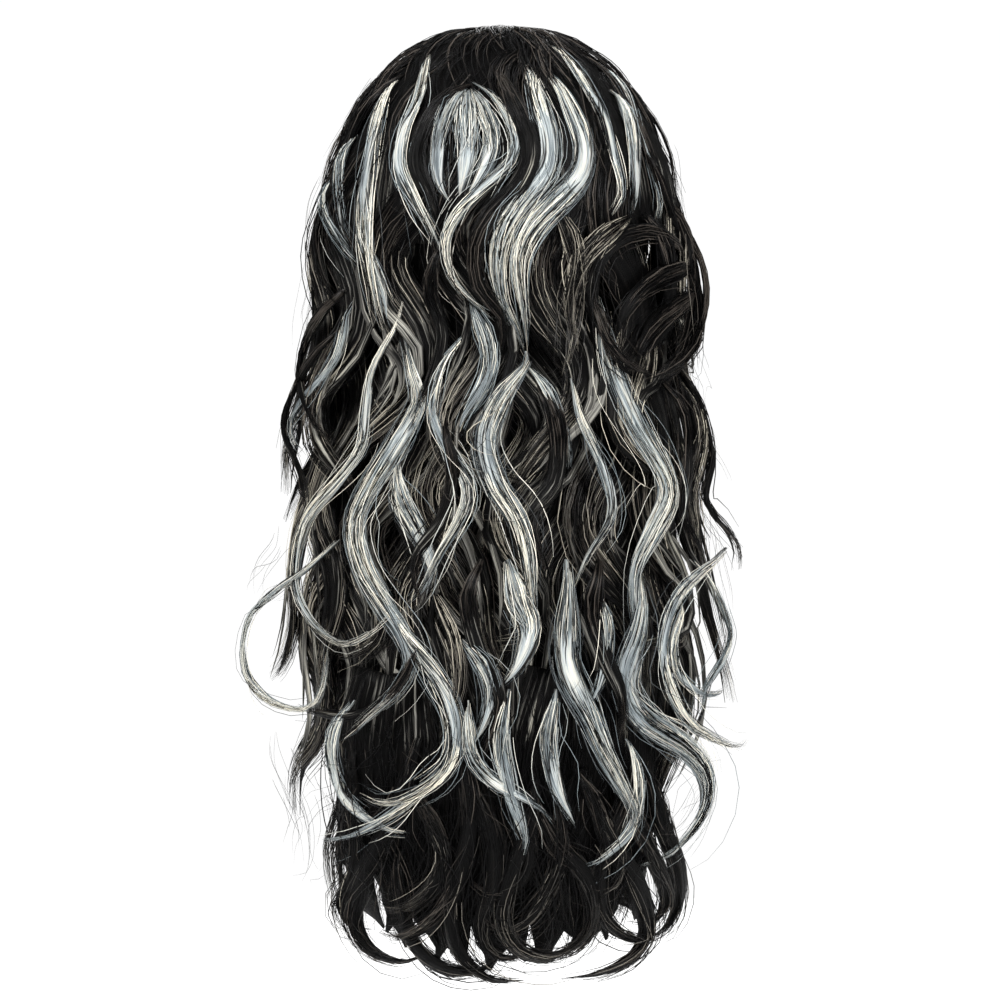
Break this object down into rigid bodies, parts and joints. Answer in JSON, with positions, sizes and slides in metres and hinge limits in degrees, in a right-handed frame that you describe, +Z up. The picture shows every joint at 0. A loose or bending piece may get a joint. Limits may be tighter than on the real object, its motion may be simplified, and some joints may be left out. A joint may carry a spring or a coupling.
{
  "type": "long wavy wig",
  "caption": "Long wavy black costume wig with pale highlight locks, tiers of hair sewn to a thin open cap with an edge band.",
  "frame": {"origin": "top of the head room, at the cap's inner face, where the cap sits on a head", "axes": "+Z up, +Y towards the face opening, +X towards the wearer's right, so the fall of hair hangs along -Z at -Y"},
  "size_m": [0.3142, 0.2796, 0.61],
  "materials": {
    "black_fibre": "satin synthetic hair",
    "pale_fibre": "satin synthetic hair, cream to blue-grey",
    "cap_net": "matte stretch net",
    "elastic": "matte woven elastic"
  },
  "bodies": {
    "root": {"wig_cap": "cap_net", "edge_band": "elastic", "nape_hair": "black_fibre", "lower_hair": "black_fibre", "mid_hair": "black_fibre", "crown_hair": "black_fibre", "front_fall_left": "black_fibre", "front_fall_right": "black_fibre", "pale_lock_01": "pale_fibre", "pale_lock_02": "pale_fibre", "pale_lock_03": "pale_fibre", "pale_lock_04": "pale_fibre", "pale_lock_05": "pale_fibre", "pale_lock_06": "pale_fibre", "pale_lock_07": "pale_fibre"}
  },
  "joints": []
}
